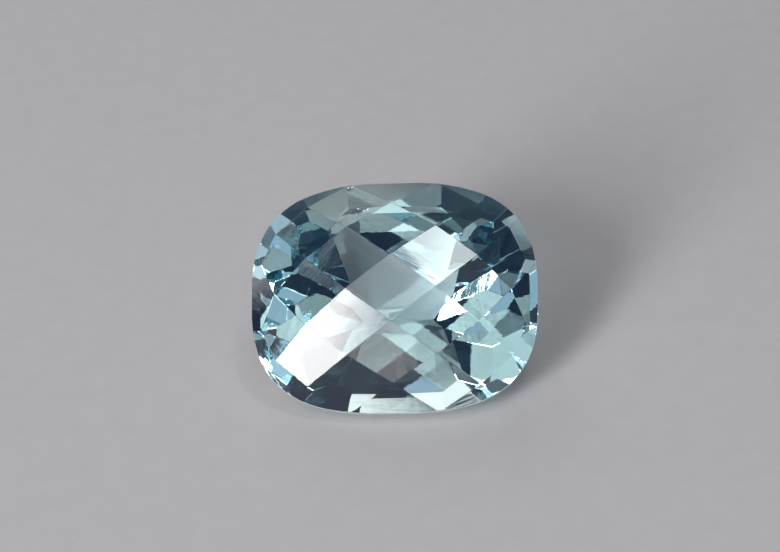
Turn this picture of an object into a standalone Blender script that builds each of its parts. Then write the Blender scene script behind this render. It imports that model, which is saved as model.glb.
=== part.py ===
"""A cushion-cut topaz with a checkerboard crown, lying tipped on its pavilion.

The stone is cut as a lapidary cuts it: a rough block loses one flat facet after
another until only the finished stone is left. While it is cut, the middle of the
girdle lies in the XY plane, the crown faces +Z and the length runs along X. The
finished stone is then tipped about X until one pavilion facet lies flat on z = 0.
"""

import math

import bmesh
import bpy
from mathutils import Matrix, Vector

MM = 0.001

# Outline and girdle
LENGTH = 12.0 * MM
WIDTH = 9.8 * MM
SQUARENESS = 2.8            # exponent n of the superellipse |x/a|^n + |y/b|^n = 1
GIRDLE_THICKNESS = 0.34 * MM
GIRDLE_FACETS = 68

# Crown: meet points of the checkerboard, counted outwards from the centre
CROWN_HEIGHT = 2.27 * MM    # from the middle of the girdle to the flat central facet
LENGTH_MEETS = (1.86 * MM, 3.59 * MM, 4.92 * MM)
WIDTH_MEETS = (1.39 * MM, 2.70 * MM, 3.82 * MM)
MEET_STEP = 0.146 * MM      # how far a row passes under the crossing of its neighbours

# Pavilion: an upper tier under the girdle and a flatter one around the culet, each cut at
# one angle to the girdle's plane. The facets of the first quarter are listed as degrees
# from the end of the length and how much further out than its tier's line each one lies.
UPPER_ANGLE = 47.4
UPPER_FACETS = (
    (0.0, 0.15 * MM),
    (19.0, 0.05 * MM),
    (30.0, -0.15 * MM),
    (44.0, 0.0),
    (53.5, 0.0),
    (75.0, 0.0),
    (90.0, 0.0),
)
CULET_ANGLE = 40.0
CULET_INSET = 1.20 * MM     # from the outline in to the line that the culet tier starts at
CULET_FACETS = (
    (0.0, 0.15 * MM),
    (47.0, 0.0),
    (90.0, 0.15 * MM),
)

# Rough block and cutter
ROUGH_SIZE = 2 * LENGTH
SNAP = 2e-8                 # a corner this close to a cut is taken to lie on it

# Finish
TOPAZ_COLOR = (0.60, 0.80, 0.85, 1.0)
TOPAZ_ROUGHNESS = 0.02
TOPAZ_IOR = 1.62


def make_topaz():
    """Return the stone's clear, pale blue material."""
    material = bpy.data.materials.new("pale_blue_topaz")
    material.use_nodes = True
    inputs = material.node_tree.nodes["Principled BSDF"].inputs
    inputs["Base Color"].default_value = TOPAZ_COLOR
    inputs["Roughness"].default_value = TOPAZ_ROUGHNESS
    inputs["Metallic"].default_value = 0.0
    inputs["IOR"].default_value = TOPAZ_IOR
    inputs["Transmission Weight"].default_value = 1.0
    material.diffuse_color = TOPAZ_COLOR
    return material


def outward(bearing):
    """Level unit vector that points away from the stone's axis at a bearing."""
    return Vector((math.cos(bearing), math.sin(bearing), 0.0))


def reach(bearing):
    """Distance from the axis to the outline's tangent line that faces a bearing.

    A superellipse of exponent n has a support function of exponent n / (n - 1).
    """
    dual = SQUARENESS / (SQUARENESS - 1.0)
    along = LENGTH / 2 * abs(math.cos(bearing))
    across = WIDTH / 2 * abs(math.sin(bearing))
    return (along ** dual + across ** dual) ** (1.0 / dual)


def girdle_cuts():
    """Upright facets around the outline, as (normal, point) pairs."""
    cuts = []
    for index in range(GIRDLE_FACETS):
        bearing = 2 * math.pi * index / GIRDLE_FACETS
        cuts.append((outward(bearing), outward(bearing) * reach(bearing)))
    return cuts


def line_through(inner, outer):
    """Height on the axis and slope of the line through two (distance, height) points."""
    slope = (outer[1] - inner[1]) / (outer[0] - inner[0])
    return inner[1] - slope * inner[0], slope


def height_at(line, distance):
    """Height of a (height, slope) line at a distance from the axis."""
    return line[0] + line[1] * distance


def crown_rows(meets, half_size):
    """Lines of the crown's rows from the centre outwards, below the central facet.

    The rows on both sides of a meet point cross exactly there, and the row between
    them passes MEET_STEP lower. With the same step along and across the stone, the
    four facets around every meet point share one corner. The last row falls from
    the last meet point to the top edge of the girdle.
    """
    rows = [(0.0, 0.0), line_through((0.0, MEET_STEP), (meets[0], -MEET_STEP))]
    for inner, outer in zip(meets, meets[1:]):
        inner_point = (inner, height_at(rows[-2], inner))
        outer_point = (outer, height_at(rows[-1], outer) - MEET_STEP)
        rows.append(line_through(inner_point, outer_point))
    last_meet = (meets[-1], height_at(rows[-2], meets[-1]))
    girdle_edge = (half_size, GIRDLE_THICKNESS / 2 - CROWN_HEIGHT)
    rows.append(line_through(last_meet, girdle_edge))
    return rows


def crown_cuts():
    """Checkerboard facets of the crown, as (normal, point) pairs."""
    along = crown_rows(LENGTH_MEETS, LENGTH / 2)
    across = crown_rows(WIDTH_MEETS, WIDTH / 2)
    cuts = []
    for column in range(1 - len(along), len(along)):
        for row in range(1 - len(across), len(across)):
            if (column + row) % 2:
                continue
            height_x, slope_x = along[abs(column)]
            height_y, slope_y = across[abs(row)]
            fall_x = math.copysign(slope_x, column)
            fall_y = math.copysign(slope_y, row)
            top = Vector((0.0, 0.0, CROWN_HEIGHT + height_x + height_y))
            cuts.append((Vector((fall_x, fall_y, 1.0)), top))
    return cuts


def mirrored(quarter):
    """Facets all around the stone, as (bearing, outset) pairs, from its first quarter."""
    around = {}
    for angle, outset in quarter:
        for turned in (angle, 180.0 - angle, 180.0 + angle, (360.0 - angle) % 360.0):
            around[math.radians(turned)] = outset
    return sorted(around.items())


def tier_cuts(angle, inset, depth, quarter):
    """Facets of one pavilion tier, as (normal, point) pairs.

    The tier's line follows the outline at an inset from it and at a depth under the
    middle of the girdle, and all facets fall inwards from there at the same angle.
    """
    down = Vector((0.0, 0.0, -1.0))
    slope = math.tan(math.radians(angle))
    cuts = []
    for bearing, outset in mirrored(quarter):
        point = outward(bearing) * (reach(bearing) - inset + outset) + down * depth
        cuts.append((outward(bearing) * slope + down, point))
    return cuts


def pavilion_cuts():
    """Facets of both pavilion tiers, as (normal, point) pairs."""
    upper_depth = GIRDLE_THICKNESS / 2
    culet_depth = upper_depth + CULET_INSET * math.tan(math.radians(UPPER_ANGLE))
    upper = tier_cuts(UPPER_ANGLE, 0.0, upper_depth, UPPER_FACETS)
    culet = tier_cuts(CULET_ANGLE, CULET_INSET, culet_depth, CULET_FACETS)
    return upper + culet


def cut_facet(bm, normal, point):
    """Cut away all that lies beyond a plane and close the stone again."""
    geometry = bm.verts[:] + bm.edges[:] + bm.faces[:]
    bmesh.ops.bisect_plane(
        bm, geom=geometry, dist=SNAP, plane_co=point, plane_no=normal, clear_outer=True
    )
    rim = [edge for edge in bm.edges if edge.is_boundary]
    if rim:
        bmesh.ops.holes_fill(bm, edges=rim, sides=0)


def lay_down(bm):
    """Tip the stone onto its front culet facet and centre its footprint on the origin."""
    tip = Matrix.Rotation(math.radians(CULET_ANGLE), 4, "X")
    bmesh.ops.transform(bm, matrix=tip, verts=bm.verts)
    low = [min(vertex.co[axis] for vertex in bm.verts) for axis in range(3)]
    high = [max(vertex.co[axis] for vertex in bm.verts) for axis in range(3)]
    shift = Vector((-(low[0] + high[0]) / 2, -(low[1] + high[1]) / 2, -low[2]))
    bmesh.ops.translate(bm, vec=shift, verts=bm.verts)


def build_gemstone():
    """Cut the whole stone and lay it down in its resting place."""
    bm = bmesh.new()
    bmesh.ops.create_cube(bm, size=ROUGH_SIZE)
    for normal, point in girdle_cuts() + pavilion_cuts() + crown_cuts():
        cut_facet(bm, normal, point)
    lay_down(bm)
    bmesh.ops.recalc_face_normals(bm, faces=bm.faces)
    mesh = bpy.data.meshes.new("gemstone")
    bm.to_mesh(mesh)
    bm.free()
    mesh.materials.append(make_topaz())
    bpy.context.scene.collection.objects.link(bpy.data.objects.new("gemstone", mesh))


def main():
    """Empty the scene and build the stone."""
    for existing in list(bpy.data.objects):
        bpy.data.objects.remove(existing)
    build_gemstone()


main()
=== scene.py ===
"""A cushion-cut blue topaz with a checkerboard crown, lying on a plain pale surface.

The stone is cut by a Geometry Nodes tree, as a lapidary cuts it: a block loses one
flat facet after another, is laid down on one of its culet facets, and its facet
junctions are then softened by a hair. It is in metres, in the frame of the model.
"""

import logging
import math
from dataclasses import dataclass, field
from enum import Enum
from typing import Any, Iterable, Mapping, Optional, Union

import bpy
from mathutils import Matrix, Vector


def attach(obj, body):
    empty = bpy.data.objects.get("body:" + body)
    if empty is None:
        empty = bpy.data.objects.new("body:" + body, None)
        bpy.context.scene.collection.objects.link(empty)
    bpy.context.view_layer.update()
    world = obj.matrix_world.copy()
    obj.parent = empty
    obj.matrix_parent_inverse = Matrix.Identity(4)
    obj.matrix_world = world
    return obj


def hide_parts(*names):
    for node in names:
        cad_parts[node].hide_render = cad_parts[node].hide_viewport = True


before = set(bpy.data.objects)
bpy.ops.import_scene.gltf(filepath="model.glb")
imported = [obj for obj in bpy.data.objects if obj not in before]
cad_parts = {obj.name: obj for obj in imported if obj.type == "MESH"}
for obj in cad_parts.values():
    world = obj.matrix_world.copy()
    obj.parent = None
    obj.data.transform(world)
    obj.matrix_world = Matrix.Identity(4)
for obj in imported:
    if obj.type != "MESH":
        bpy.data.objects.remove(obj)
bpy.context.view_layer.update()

LOG = logging.getLogger("topaz")
MM = 0.001
QUARTERS = 4
QUARTER_TURN = 2.0 * math.pi / QUARTERS

Number = Union[int, float]
Operand = Union["Value", Number]
Colour = tuple[float, float, float, float]

BLACK: Colour = (0.0, 0.0, 0.0, 1.0)
WHITE: Colour = (1.0, 1.0, 1.0, 1.0)


class MathOperation(Enum):
    """Operations of the Math node that the expressions use."""

    ADD = "ADD"
    SUBTRACT = "SUBTRACT"
    MULTIPLY = "MULTIPLY"
    DIVIDE = "DIVIDE"
    POWER = "POWER"
    ABSOLUTE = "ABSOLUTE"
    SINE = "SINE"
    COSINE = "COSINE"
    SIGN = "SIGN"
    ARCTAN = "ARCTANGENT"
    MODULO = "FLOORED_MODULO"
    FLOOR = "FLOOR"
    LESS_THAN = "LESS_THAN"
    MINIMUM = "MINIMUM"


class Graph:
    """Adds nodes to one node tree, of geometry or of a shader."""

    def __init__(self, tree: bpy.types.NodeTree) -> None:
        """Start with an existing tree.

        Args:
            tree: The tree that the nodes are added to.
        """
        self.tree = tree

    def node(
        self,
        kind: str,
        settings: Optional[Mapping[str, Any]] = None,
        inputs: Optional[Mapping[Union[str, int], Any]] = None,
    ) -> bpy.types.Node:
        """Add a node, with its settings first and its sockets after them.

        Args:
            kind: Blender's name of the node's type.
            settings: Properties of the node.
            inputs: Values or links of its sockets, by name or by number.

        Returns:
            The new node.
        """
        node = self.tree.nodes.new(kind)
        for name, setting in (settings or {}).items():
            setattr(node, name, setting)
        for name, value in (inputs or {}).items():
            self.feed(node.inputs[name], value)
        return node

    def feed(self, socket: bpy.types.NodeSocket, value: Any) -> None:
        """Link a value, a socket or several of them to an input, or set its number.

        Args:
            socket: The input.
            value: A Value, an output socket, a list of them, or plain numbers.
        """
        if isinstance(value, Value):
            self.tree.links.new(value.socket, socket)
        elif isinstance(value, bpy.types.NodeSocket):
            self.tree.links.new(value, socket)
        elif isinstance(value, list):
            for part in value:
                self.feed(socket, part)
        else:
            socket.default_value = value

    def value(self, socket: bpy.types.NodeSocket) -> "Value":
        """Wrap an output socket for use in expressions."""
        return Value(self, socket)

    def math(self, operation: MathOperation, *operands: Operand) -> "Value":
        """Add a Math node and return its result."""
        settings = {"operation": operation.value}
        node = self.node("ShaderNodeMath", settings, dict(enumerate(operands)))
        return Value(self, node.outputs[0])

    def vector(self, x: Operand, y: Operand, z: Operand) -> bpy.types.NodeSocket:
        """Add a Combine XYZ node and return its vector."""
        return self.node("ShaderNodeCombineXYZ", inputs={0: x, 1: y, 2: z}).outputs[0]


class Value:
    """A number socket that may be used in Python expressions."""

    def __init__(self, graph: Graph, socket: bpy.types.NodeSocket) -> None:
        """Wrap a socket.

        Args:
            graph: The graph that new Math nodes go into.
            socket: The output socket that carries the number.
        """
        self.graph = graph
        self.socket = socket

    def __add__(self, other: Operand) -> "Value":
        """Return self + other."""
        return self.graph.math(MathOperation.ADD, self, other)

    def __radd__(self, other: Number) -> "Value":
        """Return other + self."""
        return self.graph.math(MathOperation.ADD, other, self)

    def __sub__(self, other: Operand) -> "Value":
        """Return self - other."""
        return self.graph.math(MathOperation.SUBTRACT, self, other)

    def __rsub__(self, other: Number) -> "Value":
        """Return other - self."""
        return self.graph.math(MathOperation.SUBTRACT, other, self)

    def __mul__(self, other: Operand) -> "Value":
        """Return self * other."""
        return self.graph.math(MathOperation.MULTIPLY, self, other)

    def __rmul__(self, other: Number) -> "Value":
        """Return other * self."""
        return self.graph.math(MathOperation.MULTIPLY, other, self)

    def __truediv__(self, other: Operand) -> "Value":
        """Return self / other."""
        return self.graph.math(MathOperation.DIVIDE, self, other)

    def __rtruediv__(self, other: Number) -> "Value":
        """Return other / self."""
        return self.graph.math(MathOperation.DIVIDE, other, self)

    def __pow__(self, other: Operand) -> "Value":
        """Return self to the power of other."""
        return self.graph.math(MathOperation.POWER, self, other)

    def __mod__(self, other: Operand) -> "Value":
        """Return self modulo other, never negative."""
        return self.graph.math(MathOperation.MODULO, self, other)

    def __neg__(self) -> "Value":
        """Return -self."""
        return self * -1.0

    def __abs__(self) -> "Value":
        """Return the absolute value."""
        return self.graph.math(MathOperation.ABSOLUTE, self)

    def apply(self, operation: MathOperation, *others: Operand) -> "Value":
        """Return the result of any other operation on self and the others."""
        return self.graph.math(operation, self, *others)


@dataclass(frozen=True)
class Row:
    """A row of crown facets in profile: a line that falls away from the centre."""

    height: Operand
    slope: Operand

    def at(self, distance: Operand) -> Operand:
        """Return the line's height at a distance from the centre."""
        return self.height + self.slope * distance

    @classmethod
    def through(
        cls, inner: tuple[Operand, Operand], outer: tuple[Operand, Operand]
    ) -> "Row":
        """Return the row through two points.

        Args:
            inner: Distance from the centre and height of the first point.
            outer: Distance from the centre and height of the second point.

        Returns:
            The row's line.
        """
        slope = (outer[1] - inner[1]) / (outer[0] - inner[0])
        return cls(inner[1] - slope * inner[0], slope)


@dataclass
class FacetTree:
    """The Geometry Nodes tree that cuts a cushion with a checkerboard crown.

    Every facet is one point of a cloud: the foot of the perpendicular that falls from
    the middle of the stone onto the facet. So the point's place gives both the facet's
    direction and its distance. The rough block and the cutting blocks are cubes, sized
    by a factor of the stone's length.
    """

    name: str = "cut_checkerboard_cushion"
    sizes: tuple[str, ...] = (
        "Length",
        "Width",
        "Girdle thickness",
        "Crown height",
        "Length meet 1",
        "Length meet 2",
        "Length meet 3",
        "Width meet 1",
        "Width meet 2",
        "Width meet 3",
        "Meet step",
        "Culet inset",
        "Weld distance",
    )
    ratios: tuple[str, ...] = ("Squareness", "Upper slope", "Culet slope")
    counts: tuple[str, ...] = ("Girdle facets",)
    tiers: Mapping[str, int] = field(default_factory=lambda: {"Upper": 7, "Culet": 3})
    rough_factor: float = 1.25
    cutter_factor: float = 4.0
    tone_seed: int = 7
    tree: Any = field(init=False, default=None)
    graph: Any = field(init=False, default=None)
    given: dict[str, Any] = field(init=False, default_factory=dict)

    def build(self) -> bpy.types.NodeTree:
        """Make the whole tree.

        Returns:
            The tree, which needs no geometry of its own to start from.
        """
        self.tree = bpy.data.node_groups.new(self.name, "GeometryNodeTree")
        self.graph = Graph(self.tree)
        self._open_interface()
        girdle = self._girdle_points()
        clouds = [girdle, *self._pavilion_points(), self._crown_points()]
        joined = self.graph.node("GeometryNodeJoinGeometry", inputs={0: clouds[::-1]})
        stone = self._cut_all(joined.outputs[0])
        stone = self._lay_down(stone)
        real = self.graph.node("GeometryNodeRealizeInstances", inputs={0: stone})
        finish = {"Geometry": real.outputs[0], "Material": self.given["Finish"].socket}
        dressed = self.graph.node("GeometryNodeSetMaterial", inputs=finish)
        self.graph.node("NodeGroupOutput", inputs={"Stone": dressed.outputs[0]})
        return self.tree

    def _open_interface(self) -> None:
        facets = [
            f"{tier} {part} {number}"
            for tier, count in self.tiers.items()
            for part in ("bearing", "outset")
            for number in range(count)
        ]
        kinds = (
            (self.sizes, "NodeSocketFloat"),
            (self.ratios, "NodeSocketFloat"),
            (facets, "NodeSocketFloat"),
            (self.counts, "NodeSocketInt"),
            (("Finish",), "NodeSocketMaterial"),
        )
        for names, kind in kinds:
            for name in names:
                self.tree.interface.new_socket(name, in_out="INPUT", socket_type=kind)
        self.tree.interface.new_socket(
            "Stone", in_out="OUTPUT", socket_type="NodeSocketGeometry"
        )
        entry = self.graph.node("NodeGroupInput")
        for names, _ in kinds:
            for name in names:
                self.given[name] = self.graph.value(entry.outputs[name])

    def _reach(self, cosine: Operand, sine: Operand) -> Operand:
        """Distance from the axis to the outline's tangent line that faces a bearing.

        A superellipse of exponent n has a support function of exponent n / (n - 1).

        Args:
            cosine: Cosine of the bearing.
            sine: Sine of the bearing.

        Returns:
            The distance.
        """
        squareness = self.given["Squareness"]
        dual = squareness / (squareness - 1.0)
        along = abs(cosine) * self.given["Length"] / 2.0
        across = abs(sine) * self.given["Width"] / 2.0
        return (along**dual + across**dual) ** (1.0 / dual)

    def _index(self) -> Value:
        """Number of a point in its cloud."""
        return self.graph.value(self.graph.node("GeometryNodeInputIndex").outputs[0])

    def _mirrored(self, tier: str) -> tuple[Value, Value]:
        """Bearing and outset of each facet of a tier, mirrored from a quarter turn.

        Args:
            tier: The tier, whose first bearing is 0 and whose last is a quarter turn.

        Returns:
            The bearing in radians and the outset, one of each for a point of a cloud.
        """
        steps = self.tiers[tier] - 1
        index = self._index()
        quarter = (index / steps).apply(MathOperation.FLOOR)
        step = index % steps
        back = quarter % 2
        place = step + back * (steps - 2.0 * step)
        numbers = range(steps + 1)
        bearing = self._pick(place, [self.given[f"{tier} bearing {k}"] for k in numbers])
        outset = self._pick(place, [self.given[f"{tier} outset {k}"] for k in numbers])
        return (quarter + back) * QUARTER_TURN + bearing * (1.0 - 2.0 * back), outset

    def _cloud(self, count: Operand, place: Any) -> bpy.types.NodeSocket:
        """Add a cloud of points at places that depend on their index."""
        points = self.graph.node(
            "GeometryNodePoints", inputs={"Count": count, "Position": place}
        )
        return points.outputs[0]

    def _foot(self, x: Operand, y: Operand, z: Operand, distance: Operand) -> Any:
        """Foot of the perpendicular onto a plane.

        Args:
            x: First part of the plane's normal, of any length.
            y: Second part of the normal.
            z: Third part of the normal.
            distance: The plane's distance times the normal's length.

        Returns:
            The foot, as a vector socket.
        """
        reduced = distance / (x * x + y * y + z * z)
        return self.graph.vector(x * reduced, y * reduced, z * reduced)

    def _girdle_points(self) -> bpy.types.NodeSocket:
        """Upright facets at even bearings around the outline."""
        count = self.given["Girdle facets"]
        bearing = self._index() * (2.0 * math.pi) / count
        cosine = bearing.apply(MathOperation.COSINE)
        sine = bearing.apply(MathOperation.SINE)
        reach = self._reach(cosine, sine)
        return self._cloud(count, self.graph.vector(cosine * reach, sine * reach, 0.0))

    def _pavilion_points(self) -> list[bpy.types.NodeSocket]:
        """Facets under the girdle: an upper tier, then a flatter one around the culet."""
        depth = self.given["Girdle thickness"] / 2.0
        upper_slope = self.given["Upper slope"]
        inset = self.given["Culet inset"]
        tiers = (
            ("Upper", 0.0, depth, upper_slope),
            ("Culet", inset, depth + inset * upper_slope, self.given["Culet slope"]),
        )
        clouds = []
        for tier, inward, top, slope in tiers:
            bearing, outset = self._mirrored(tier)
            cosine = bearing.apply(MathOperation.COSINE)
            sine = bearing.apply(MathOperation.SINE)
            distance = top + slope * (self._reach(cosine, sine) - inward + outset)
            foot = self._foot(cosine * slope, sine * slope, -1.0, distance)
            clouds.append(self._cloud(QUARTERS * (self.tiers[tier] - 1), foot))
        return clouds

    def _crown_rows(self, side: str) -> list[Row]:
        """Rows of the crown along or across the stone, from the centre outwards.

        The rows on both sides of a meet point cross there, and the row between them
        passes one meet step lower, so that four facets share each corner.

        Args:
            side: "Length" or "Width".

        Returns:
            The rows' lines, below the central facet.
        """
        step = self.given["Meet step"]
        meets = [self.given[f"{side} meet {number}"] for number in (1, 2, 3)]
        rows = [Row(0.0, 0.0), Row.through((0.0, step), (meets[0], -step))]
        for inner, outer in zip(meets, meets[1:]):
            inner_point = (inner, rows[-2].at(inner))
            rows.append(Row.through(inner_point, (outer, rows[-1].at(outer) - step)))
        edge = self.given["Girdle thickness"] / 2.0 - self.given["Crown height"]
        last_meet = (meets[-1], rows[-2].at(meets[-1]))
        rows.append(Row.through(last_meet, (self.given[side] / 2.0, edge)))
        return rows

    def _pick(self, index: Operand, choices: Iterable[Operand]) -> Value:
        """Choose one of several numbers by an index that differs from point to point."""
        numbers = list(choices)
        switch = self.graph.node("GeometryNodeIndexSwitch", {"data_type": "FLOAT"})
        while len(switch.index_switch_items) < len(numbers):
            switch.index_switch_items.new()
        self.graph.feed(switch.inputs[0], index)
        for place, number in enumerate(numbers, start=1):
            self.graph.feed(switch.inputs[place], number)
        return self.graph.value(switch.outputs[0])

    def _crown_points(self) -> bpy.types.NodeSocket:
        """Checkerboard facets of the crown: every second field of a square lattice."""
        along = self._crown_rows("Length")
        across = self._crown_rows("Width")
        reach = len(along) - 1
        fields = 2 * reach + 1
        count = (fields * fields + 1) // 2
        cell = self._index() * 2.0
        column = cell % fields - reach
        row = (cell / fields).apply(MathOperation.FLOOR) - reach
        slope_x = self._pick(abs(column), [line.slope for line in along])
        slope_y = self._pick(abs(row), [line.slope for line in across])
        height_x = self._pick(abs(column), [line.height for line in along])
        height_y = self._pick(abs(row), [line.height for line in across])
        normal_x = -slope_x * column.apply(MathOperation.SIGN)
        normal_y = -slope_y * row.apply(MathOperation.SIGN)
        top = self.given["Crown height"] + height_x + height_y
        foot = self._foot(normal_x, normal_y, 1.0, top)
        return self._cloud(count, foot)

    def _cut_all(self, cloud: bpy.types.NodeSocket) -> bpy.types.NodeSocket:
        """Cut one facet for each point of the cloud.

        Args:
            cloud: The feet of all facets, those of the girdle first.

        Returns:
            The cut stone, its crown towards +Z.
        """
        node = self.graph.node
        count = node(
            "GeometryNodeAttributeDomainSize", {"component": "POINTCLOUD"}, {0: cloud}
        )
        first = node("GeometryNodeRepeatInput")
        last = node("GeometryNodeRepeatOutput")
        first.pair_with_output(last)
        self.graph.feed(first.inputs["Iterations"], count.outputs["Point Count"])
        rough = self._cube(self.given["Length"] * self.rough_factor)
        self.graph.feed(first.inputs["Geometry"], rough)
        cutter = self._cutter(cloud, self.graph.value(first.outputs["Iteration"]))
        cut = node(
            "GeometryNodeMeshBoolean",
            {"operation": "DIFFERENCE", "solver": "EXACT"},
            {"Mesh 1": first.outputs["Geometry"], "Mesh 2": cutter},
        )
        self.graph.feed(last.inputs["Geometry"], cut.outputs[0])
        weld = {"Geometry": last.outputs["Geometry"], "Distance": self.given["Weld distance"]}
        return node("GeometryNodeMergeByDistance", inputs=weld).outputs[0]

    def _cutter(self, cloud: bpy.types.NodeSocket, turn: Value) -> bpy.types.NodeSocket:
        """Add the block that lies beyond one facet, with one side on it.

        Its faces carry the facet's tone and whether it belongs to the girdle, and the
        Boolean hands both on to the new facet.

        Args:
            cloud: The feet of all facets, those of the girdle first.
            turn: Number of the facet in the cloud.

        Returns:
            The block.
        """
        node = self.graph.node
        size = self.given["Length"] * self.cutter_factor
        place = node("GeometryNodeInputPosition").outputs[0]
        foot = node(
            "GeometryNodeSampleIndex",
            {"data_type": "FLOAT_VECTOR", "domain": "POINT"},
            {"Geometry": cloud, "Value": place, "Index": turn},
        ).outputs[0]
        outward = node(
            "ShaderNodeVectorMath", {"operation": "NORMALIZE"}, {0: foot}
        ).outputs[0]
        half = node(
            "ShaderNodeVectorMath",
            {"operation": "SCALE"},
            {"Vector": outward, "Scale": size / 2.0},
        )
        centre = node(
            "ShaderNodeVectorMath", {"operation": "ADD"}, {0: foot, 1: half.outputs[0]}
        )
        facing = node(
            "FunctionNodeAlignRotationToVector", {"axis": "Z"}, {"Vector": outward}
        )
        tone = node(
            "FunctionNodeRandomValue",
            {"data_type": "FLOAT"},
            {"Min": 0.0, "Max": 1.0, "ID": turn, "Seed": self.tone_seed},
        )
        # Half a step keeps the comparison of two whole numbers clear of rounding.
        ground = turn.apply(MathOperation.LESS_THAN, self.given["Girdle facets"] - 0.5)
        block = self._mark(self._cube(size), "facet_tone", tone.outputs[1])
        block = self._mark(block, "girdle_ground", ground)
        cutter = node(
            "GeometryNodeTransform",
            inputs={
                "Geometry": block,
                "Translation": centre.outputs[0],
                "Rotation": facing.outputs[0],
            },
        )
        return cutter.outputs[0]

    def _cube(self, side: Value) -> bpy.types.NodeSocket:
        """Add a cube around the middle of the stone."""
        size = self.graph.vector(side, side, side)
        return self.graph.node("GeometryNodeMeshCube", inputs={"Size": size}).outputs[0]

    def _mark(self, geometry: Any, name: str, value: Any) -> bpy.types.NodeSocket:
        """Store a number on every face under a name."""
        node = self.graph.node(
            "GeometryNodeStoreNamedAttribute",
            {"data_type": "FLOAT", "domain": "FACE"},
            {"Geometry": geometry, "Name": name, "Value": value},
        )
        return node.outputs[0]

    def _lay_down(self, stone: bpy.types.NodeSocket) -> bpy.types.NodeSocket:
        """Tip the stone onto its front culet facet and centre its footprint.

        Args:
            stone: The cut stone, its crown towards +Z.

        Returns:
            The stone as it lies, its lowest point at zero.
        """
        tip = self.given["Culet slope"].apply(MathOperation.ARCTAN)
        tipped = self.graph.node(
            "GeometryNodeTransform",
            inputs={"Geometry": stone, "Rotation": self.graph.vector(tip, 0.0, 0.0)},
        )
        box = self.graph.node("GeometryNodeBoundBox", inputs={0: tipped.outputs[0]})
        corners = []
        for name in ("Min", "Max"):
            parts = self.graph.node("ShaderNodeSeparateXYZ", inputs={0: box.outputs[name]})
            corners.append([self.graph.value(part) for part in parts.outputs])
        low, high = corners
        shift = self.graph.vector(
            (low[0] + high[0]) * -0.5, (low[1] + high[1]) * -0.5, -low[2]
        )
        laid = self.graph.node(
            "GeometryNodeTransform",
            inputs={"Geometry": tipped.outputs[0], "Translation": shift},
        )
        return laid.outputs[0]


@dataclass(frozen=True)
class TopazFinish:
    """Clear, pale blue topaz with polished facets and a finely ground girdle.

    The stone's body takes up the colour, so long paths through it come out deeper and
    bluer. Every facet was polished on its own and keeps the lap's faint marks, which
    run in a direction of their own: the facet's tone times the lap turns, in radians
    about X, Y and Z. The girdle is left as it was ground.
    """

    name: str = "pale_blue_topaz"
    ior: float = 1.62
    density: float = 60.0
    tint: Colour = (0.25, 0.817, 0.933, 1.0)
    polish: float = 0.006
    polish_spread: float = 0.014
    ground: float = 0.34
    lap_scale: float = 700.0
    lap_stretch: float = 4.0
    lap_depth: float = 2.2e-6
    lap_detail: float = 4.0
    lap_turns: tuple[float, float, float] = (40.0, 23.0, 31.0)
    grain_scale: float = 16000.0
    grain_depth: float = 6e-6
    grain_detail: float = 2.0
    frost: Colour = (0.80, 0.86, 0.89, 1.0)
    frost_roughness: float = 0.6
    frosting: float = 0.6

    def build(self) -> bpy.types.Material:
        """Make the material.

        Returns:
            The stone's material.
        """
        material = bpy.data.materials.new(self.name)
        material.use_nodes = True
        material.node_tree.nodes.clear()
        graph = Graph(material.node_tree)
        tone = self._mark(graph, "facet_tone")
        girdle = self._mark(graph, "girdle_ground")
        facet = self.polish + tone * self.polish_spread
        normal = self._surface(graph, tone, girdle)
        clear = graph.node(
            "ShaderNodeBsdfPrincipled",
            inputs={
                "Base Color": WHITE,
                "IOR": self.ior,
                "Transmission Weight": 1.0,
                "Roughness": facet + girdle * (self.ground - facet),
                "Normal": normal,
            },
        )
        frosted = graph.node(
            "ShaderNodeBsdfPrincipled",
            inputs={
                "Base Color": self.frost,
                "Roughness": self.frost_roughness,
                "Normal": normal,
            },
        )
        surface = graph.node(
            "ShaderNodeMixShader",
            inputs={0: girdle * self.frosting, 1: clear.outputs[0], 2: frosted.outputs[0]},
        )
        body = graph.node(
            "ShaderNodeVolumeAbsorption",
            inputs={"Color": self.tint, "Density": self.density},
        )
        graph.node(
            "ShaderNodeOutputMaterial",
            inputs={"Surface": surface.outputs[0], "Volume": body.outputs[0]},
        )
        return material

    @staticmethod
    def _mark(graph: Graph, name: str) -> Value:
        """Read a number that every face carries under a name."""
        mark = graph.node("ShaderNodeAttribute", {"attribute_name": name})
        return graph.value(mark.outputs["Fac"])

    def _surface(self, graph: Graph, tone: Value, girdle: Value) -> bpy.types.NodeSocket:
        """Normal waved by the lap's faint marks, and grainy on the girdle.

        Args:
            graph: The material's graph.
            tone: A number that differs from facet to facet.
            girdle: One on the girdle and zero elsewhere.

        Returns:
            The normal.
        """
        place = graph.node("ShaderNodeTexCoord").outputs["Object"]
        turns = graph.vector(*(tone * turn for turn in self.lap_turns))
        turned = graph.node(
            "ShaderNodeVectorRotate",
            {"rotation_type": "EULER_XYZ"},
            {"Vector": place, "Rotation": turns},
        )
        drawn = graph.node(
            "ShaderNodeVectorMath",
            {"operation": "MULTIPLY"},
            {0: turned.outputs[0], 1: (self.lap_stretch, 1.0, 1.0)},
        )
        marks = graph.node(
            "ShaderNodeTexNoise",
            inputs={
                "Vector": drawn.outputs[0],
                "Scale": self.lap_scale,
                "Detail": self.lap_detail,
            },
        )
        grain = graph.node(
            "ShaderNodeTexNoise",
            inputs={
                "Vector": place,
                "Scale": self.grain_scale,
                "Detail": self.grain_detail,
            },
        )
        lapped = graph.value(marks.outputs[0]) * self.lap_depth
        ground = graph.value(grain.outputs[0]) * self.grain_depth
        height = (lapped + girdle * (ground - lapped)) / self.lap_depth
        bump = graph.node(
            "ShaderNodeBump",
            inputs={"Strength": 1.0, "Distance": self.lap_depth, "Height": height},
        )
        return bump.outputs[0]


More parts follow.
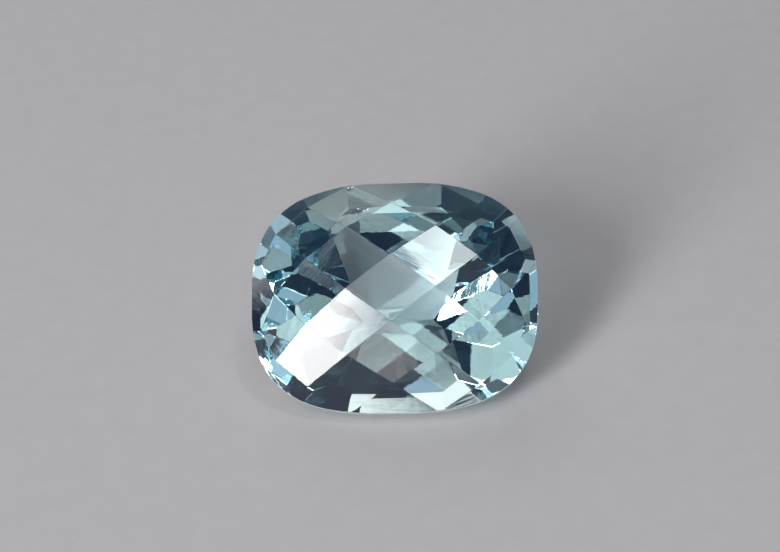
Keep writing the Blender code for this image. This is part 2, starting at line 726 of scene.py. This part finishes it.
@dataclass(frozen=True)
class SurfaceFinish:
    """Plain pale floor with a fine, even grain."""

    name: str = "pale_floor"
    light: Colour = (0.68, 0.665, 0.675, 1.0)
    dark: Colour = (0.62, 0.605, 0.615, 1.0)
    roughness: float = 0.85
    grain_scale: float = 900.0
    grain_detail: float = 4.0

    def build(self) -> bpy.types.Material:
        """Make the material.

        Returns:
            The floor's material.
        """
        material = bpy.data.materials.new(self.name)
        material.use_nodes = True
        material.node_tree.nodes.clear()
        graph = Graph(material.node_tree)
        place = graph.node("ShaderNodeTexCoord").outputs["Object"]
        grain = graph.node(
            "ShaderNodeTexNoise",
            inputs={
                "Vector": place,
                "Scale": self.grain_scale,
                "Detail": self.grain_detail,
            },
        )
        colour = graph.node(
            "ShaderNodeMix",
            {"data_type": "RGBA"},
            {"Factor": grain.outputs[0], 6: self.dark, 7: self.light},
        )
        shader = graph.node(
            "ShaderNodeBsdfPrincipled",
            inputs={"Base Color": colour.outputs[2], "Roughness": self.roughness},
        )
        graph.node("ShaderNodeOutputMaterial", inputs={"Surface": shader.outputs[0]})
        return material


@dataclass
class Gemstone:
    """The whole stone: its cut, its softened facet junctions and its finish."""

    name: str = "topaz_stone"
    length: float = 12.0 * MM
    width: float = 9.8 * MM
    squareness: float = 2.8
    girdle_thickness: float = 0.34 * MM
    girdle_facets: int = 68
    crown_height: float = 2.27 * MM
    length_meets: tuple[float, ...] = (1.86 * MM, 3.59 * MM, 4.92 * MM)
    width_meets: tuple[float, ...] = (1.39 * MM, 2.70 * MM, 3.82 * MM)
    meet_step: float = 0.146 * MM
    upper_angle: float = 47.4
    upper_bearings: tuple[float, ...] = (0.0, 19.0, 30.0, 44.0, 53.5, 75.0, 90.0)
    upper_outsets: tuple[float, ...] = (0.15 * MM, 0.05 * MM, -0.15 * MM, 0.0, 0.0, 0.0, 0.0)
    culet_angle: float = 40.0
    culet_inset: float = 1.20 * MM
    culet_bearings: tuple[float, ...] = (0.0, 47.0, 90.0)
    culet_outsets: tuple[float, ...] = (0.15 * MM, 0.0, 0.15 * MM)
    weld_distance: float = 0.008 * MM
    junction_width: float = 0.012 * MM
    junction_angle: float = math.radians(4.0)
    finish: TopazFinish = TopazFinish()

    def build(self) -> bpy.types.Object:
        """Cut, soften and dress the stone.

        Returns:
            The finished stone as a plain mesh at the origin.
        """
        mesh = bpy.data.meshes.new(self.name + "_rough")
        blank = bpy.data.objects.new(self.name + "_rough", mesh)
        bpy.context.scene.collection.objects.link(blank)
        self._cut(blank, self.finish.build())
        self._soften(blank)
        graph = bpy.context.evaluated_depsgraph_get()
        finished = bpy.data.meshes.new_from_object(blank.evaluated_get(graph))
        finished.name = self.name
        # The blank's own slot is empty and comes before the finish.
        while finished.materials[0] is None:
            finished.materials.pop(index=0)
        bpy.data.objects.remove(blank)
        stone = bpy.data.objects.new(self.name, finished)
        bpy.context.scene.collection.objects.link(stone)
        return stone

    def _cut(self, blank: bpy.types.Object, material: bpy.types.Material) -> None:
        """Put the facet tree on the blank and hand it the stone's sizes.

        Args:
            blank: The object that the tree is put on.
            material: The stone's material.
        """
        tree = FacetTree().build()
        sizes: dict[str, Any] = {
            "Length": self.length,
            "Width": self.width,
            "Squareness": self.squareness,
            "Girdle thickness": self.girdle_thickness,
            "Girdle facets": self.girdle_facets,
            "Crown height": self.crown_height,
            "Meet step": self.meet_step,
            "Upper slope": math.tan(math.radians(self.upper_angle)),
            "Culet slope": math.tan(math.radians(self.culet_angle)),
            "Culet inset": self.culet_inset,
            "Weld distance": self.weld_distance,
            "Finish": material,
        }
        for number, (along, across) in enumerate(zip(self.length_meets, self.width_meets), 1):
            sizes[f"Length meet {number}"] = along
            sizes[f"Width meet {number}"] = across
        tiers = (
            ("Upper", self.upper_bearings, self.upper_outsets),
            ("Culet", self.culet_bearings, self.culet_outsets),
        )
        for tier, bearings, outsets in tiers:
            for number, (bearing, outset) in enumerate(zip(bearings, outsets)):
                sizes[f"{tier} bearing {number}"] = math.radians(bearing)
                sizes[f"{tier} outset {number}"] = outset
        cutting = blank.modifiers.new("cutting", "NODES")
        cutting.node_group = tree
        for item in tree.interface.items_tree:
            if item.in_out == "INPUT":
                cutting[item.identifier] = sizes[item.name]

    def _soften(self, blank: bpy.types.Object) -> None:
        """Soften the facet junctions by a hair, as polishing does."""
        bevel = blank.modifiers.new("junctions", "BEVEL")
        bevel.width = self.junction_width
        bevel.segments = 1
        bevel.limit_method = "ANGLE"
        bevel.angle_limit = self.junction_angle
        bevel.use_clamp_overlap = True


class Tint(Enum):
    """Colours of the light that the softboxes give."""

    WHITE = (1.0, 1.0, 1.0, 1.0)
    BLUE = (0.86, 0.91, 1.0, 1.0)
    CYAN = (0.86, 0.97, 0.97, 1.0)
    WARM = (1.0, 0.92, 0.84, 1.0)


class Rim(Enum):
    """How far a light fades out from each edge, as a share of that side."""

    CRISP = 0.06
    FIRM = 0.1
    SOFT = 0.3


@dataclass(frozen=True)
class Softbox:
    """A rectangular studio light that faces the stone.

    The azimuth is 0 towards the viewer and 90 to the right, the elevation is above
    the surface, and both are in degrees, as are the light's two sides as seen from
    the stone and its turn about the line to it. The glow is its radiance. A light
    that isn't mirrored shows in no facet and only falls on what scatters its light.
    """

    name: str
    tint: Tint
    azimuth: float
    elevation: float
    wide: float
    high: float
    glow: float
    rim: Rim = Rim.CRISP
    turn: float = 0.0
    mirrored: bool = True
    distance: float = 0.6

    def build(self, target: Vector) -> bpy.types.Object:
        """Hang the light.

        Args:
            target: The point that the light faces.

        Returns:
            The light's object.
        """
        lamp = bpy.data.lights.new(self.name, "AREA")
        lamp.shape = "RECTANGLE"
        lamp.size = 2.0 * self.distance * math.tan(math.radians(self.wide) / 2.0)
        lamp.size_y = 2.0 * self.distance * math.tan(math.radians(self.high) / 2.0)
        lamp.energy = self.glow * math.pi * lamp.size * lamp.size_y
        self._shade(lamp)
        light = bpy.data.objects.new(self.name, lamp)
        away = direction(self.azimuth, self.elevation)
        light.location = target + away * self.distance
        facing = away.to_track_quat("Z", "Y").to_matrix()
        spin = Matrix.Rotation(math.radians(self.turn), 3, "Z")
        light.rotation_euler = (facing @ spin).to_euler()
        light.visible_camera = False
        light.visible_glossy = self.mirrored
        light.visible_transmission = self.mirrored
        bpy.context.scene.collection.objects.link(light)
        return light

    def _shade(self, lamp: bpy.types.Light) -> None:
        """Let the light fade out towards its rim, as the cloth of a softbox does."""
        lamp.use_nodes = True
        lamp.node_tree.nodes.clear()
        graph = Graph(lamp.node_tree)
        place = graph.node("ShaderNodeNewGeometry").outputs["Parametric"]
        sides = graph.node("ShaderNodeSeparateXYZ", inputs={0: place}).outputs
        fade: Operand = 1.0
        for side in sides[:2]:
            across = graph.value(side)
            inward = across.apply(MathOperation.MINIMUM, 1.0 - across) / self.rim.value
            fade = inward.apply(MathOperation.MINIMUM, 1.0) * fade
        colour = graph.node(
            "ShaderNodeMix",
            {"data_type": "RGBA"},
            {"Factor": fade, 6: BLACK, 7: self.tint.value},
        )
        glow = graph.node("ShaderNodeEmission", inputs={"Color": colour.outputs[2]})
        graph.node("ShaderNodeOutputLight", inputs={"Surface": glow.outputs[0]})


@dataclass(frozen=True)
class GatheredLight:
    """The bright patch that a clear stone throws on the surface behind it.

    The stone gathers the window's light there. It comes from a small lamp behind the
    stone, which shows in no facet itself. Its place and its radius are on the surface,
    and the glow is the radiance of a white surface in the middle of the patch.
    """

    name: str
    right: float
    behind: float
    radius: float
    glow: float
    colour: tuple[float, float, float] = (0.92, 0.98, 1.0)
    azimuth: float = 165.0
    elevation: float = 42.0
    distance: float = 60.0 * MM
    lamp_radius: float = 1.0 * MM

    def build(self) -> bpy.types.Object:
        """Hang the lamp.

        Returns:
            The lamp's object.
        """
        lamp = bpy.data.lights.new(self.name, "SPOT")
        slant = math.sin(math.radians(self.elevation))
        lamp.energy = self.glow * (2.0 * math.pi * self.distance) ** 2 / slant
        lamp.color = self.colour
        lamp.spot_size = 2.0 * math.atan(self.radius / self.distance)
        lamp.spot_blend = 1.0
        lamp.shadow_soft_size = self.lamp_radius
        light = bpy.data.objects.new(self.name, lamp)
        away = direction(self.azimuth, self.elevation)
        light.location = Vector((self.right, self.behind, 0.0)) + away * self.distance
        light.rotation_euler = away.to_track_quat("Z", "Y").to_euler()
        light.visible_camera = False
        light.visible_glossy = False
        light.visible_transmission = False
        bpy.context.scene.collection.objects.link(light)
        return light


@dataclass
class Studio:
    """The pale floor, the lights and the camera around the stone.

    The lights face the stone's middle. The camera stands at a distance from it, in the
    direction of an azimuth and an elevation in degrees, rolled about its line of sight,
    and aims a little to the left of the middle and above it.
    """

    middle: Vector = field(default_factory=lambda: Vector((0.0, 0.0, 3.605 * MM)))
    azimuth: float = 5.2
    elevation: float = 38.42
    roll: float = math.radians(-4.47)
    distance: float = 100.0 * MM
    lens: float = 110.14
    aim_left: float = 0.183 * MM
    aim_up: float = 0.914 * MM
    clip_start: float = 5.0 * MM
    clip_end: float = 10.0
    floor_radius: float = 2.0
    floor_sides: int = 96
    bounces: int = 32
    mirror_bounces: int = 16
    room: Colour = (0.020, 0.025, 0.044, 1.0)
    # The window mirrors in two facets of the crown. The fills, the overhead light and
    # the two sparks show mostly through the crown, turned back by the pavilion. The
    # floor wash only lifts the surface.
    softboxes: tuple[Softbox, ...] = (
        Softbox(
            "window", Tint.WHITE,
            azimuth=-35.6, elevation=21.0, wide=16.0, high=42.0, glow=15.0, rim=Rim.FIRM
        ),
        Softbox(
            "window_halo", Tint.BLUE,
            azimuth=-13.0, elevation=21.0, wide=31.0, high=30.0, turn=45.0, glow=0.55
        ),
        Softbox(
            "strip", Tint.WARM,
            azimuth=-7.0, elevation=16.7, wide=7.0, high=23.0, glow=2.0
        ),
        Softbox(
            "left_fill", Tint.WARM,
            azimuth=-55.0, elevation=8.0, wide=58.0, high=36.0, turn=-15.0, glow=0.8, rim=Rim.SOFT
        ),
        Softbox(
            "front_fill", Tint.WARM,
            azimuth=-4.6, elevation=60.0, wide=40.0, high=15.0, turn=-38.0, glow=0.49, rim=Rim.SOFT
        ),
        Softbox(
            "front_strip", Tint.WARM,
            azimuth=-8.7, elevation=55.8, wide=11.5, high=50.0, turn=-20.0, glow=0.78, rim=Rim.SOFT
        ),
        Softbox(
            "rear_fill", Tint.WARM,
            azimuth=-157.7, elevation=38.7, wide=39.5, high=31.5, turn=20.0, glow=1.2
        ),
        Softbox(
            "overhead", Tint.CYAN,
            azimuth=84.3, elevation=75.2, wide=6.5, high=13.5, turn=-45.0, glow=10.0
        ),
        Softbox(
            "right_fill", Tint.WARM,
            azimuth=41.0, elevation=53.0, wide=35.0, high=15.0, turn=-17.0, glow=0.49, rim=Rim.SOFT
        ),
        Softbox(
            "top_fill", Tint.WARM,
            azimuth=45.0, elevation=73.7, wide=20.5, high=32.0, glow=0.46, rim=Rim.SOFT
        ),
        Softbox(
            "low_fill", Tint.BLUE,
            azimuth=65.5, elevation=6.5, wide=37.0, high=12.0, glow=0.75
        ),
        Softbox(
            "right_spark", Tint.WHITE,
            azimuth=41.0, elevation=4.0, wide=11.5, high=6.0, glow=10.0
        ),
        Softbox(
            "left_spark", Tint.WHITE,
            azimuth=-110.0, elevation=5.5, wide=12.5, high=10.5, glow=2.1
        ),
        Softbox(
            "floor_wash", Tint.WHITE,
            azimuth=-40.0, elevation=48.0, wide=34.0, high=34.0, glow=1.5, mirrored=False
        ),
    )
    gathered: GatheredLight = GatheredLight(
        "gathered_light", right=2.6 * MM, behind=3.5 * MM, radius=1.75 * MM, glow=2.5
    )

    def build(self) -> None:
        """Make the floor, the lights, the camera and the view settings."""
        self._make_floor()
        self._light_room()
        for softbox in self.softboxes:
            softbox.build(self.middle)
        self.gathered.build()
        self._place_camera()
        scene = bpy.context.scene
        scene.view_settings.view_transform = "Standard"
        scene.cycles.max_bounces = self.bounces
        scene.cycles.transmission_bounces = self.bounces
        scene.cycles.glossy_bounces = self.mirror_bounces

    def _make_floor(self) -> None:
        """Lay a flat, round floor under the stone."""
        sides = range(self.floor_sides)
        turns = [2.0 * math.pi * side / self.floor_sides for side in sides]
        ring = [
            Vector((math.cos(turn), math.sin(turn), 0.0)) * self.floor_radius
            for turn in turns
        ]
        mesh = bpy.data.meshes.new("floor")
        mesh.from_pydata(ring, [], [tuple(sides)])
        mesh.materials.append(SurfaceFinish().build())
        floor = bpy.data.objects.new("floor", mesh)
        bpy.context.scene.collection.objects.link(floor)

    def _light_room(self) -> None:
        """Fill the room with dim, even light."""
        world = bpy.data.worlds.new("studio_room")
        world.use_nodes = True
        world.node_tree.nodes.clear()
        graph = Graph(world.node_tree)
        dim = graph.node("ShaderNodeBackground", inputs={"Color": self.room, "Strength": 1.0})
        graph.node("ShaderNodeOutputWorld", inputs={"Surface": dim.outputs[0]})
        bpy.context.scene.world = world

    def _place_camera(self) -> None:
        """Aim the camera at the crown."""
        data = bpy.data.cameras.new("camera")
        data.lens = self.lens
        data.clip_start = self.clip_start
        data.clip_end = self.clip_end
        camera = bpy.data.objects.new("camera", data)
        bpy.context.scene.collection.objects.link(camera)
        back = direction(self.azimuth, self.elevation)
        level = Vector((-back.y, back.x, 0.0)).normalized()
        right = level * math.cos(self.roll) + back.cross(level) * math.sin(self.roll)
        up = back.cross(right)
        camera.location = self.middle + back * self.distance
        aim = self.middle - right * self.aim_left + up * self.aim_up
        sight = (camera.location - aim).normalized()
        across = up.cross(sight).normalized()
        axes = Matrix((across, sight.cross(across), sight)).transposed()
        camera.rotation_euler = axes.to_euler()
        bpy.context.scene.camera = camera


def direction(azimuth: float, elevation: float) -> Vector:
    """Unit vector from the stone towards a place in the room.

    Args:
        azimuth: Degrees from the viewer's side, positive to the right.
        elevation: Degrees above the surface.

    Returns:
        The vector.
    """
    turn = math.radians(azimuth)
    rise = math.radians(elevation)
    return Vector(
        (math.sin(turn) * math.cos(rise), -math.cos(turn) * math.cos(rise), math.sin(rise))
    )


def main() -> None:
    """Build the stone and the studio around it."""
    logging.basicConfig(level=logging.INFO, format="%(name)s: %(message)s")
    LOG.info("frame: %d node(s)", len(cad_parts))
    stone = Gemstone().build()
    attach(stone, "root")
    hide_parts("gemstone")
    LOG.info("%s: %d faces", stone.name, len(stone.data.polygons))
    Studio().build()


if __name__ == "__main__":
    main()
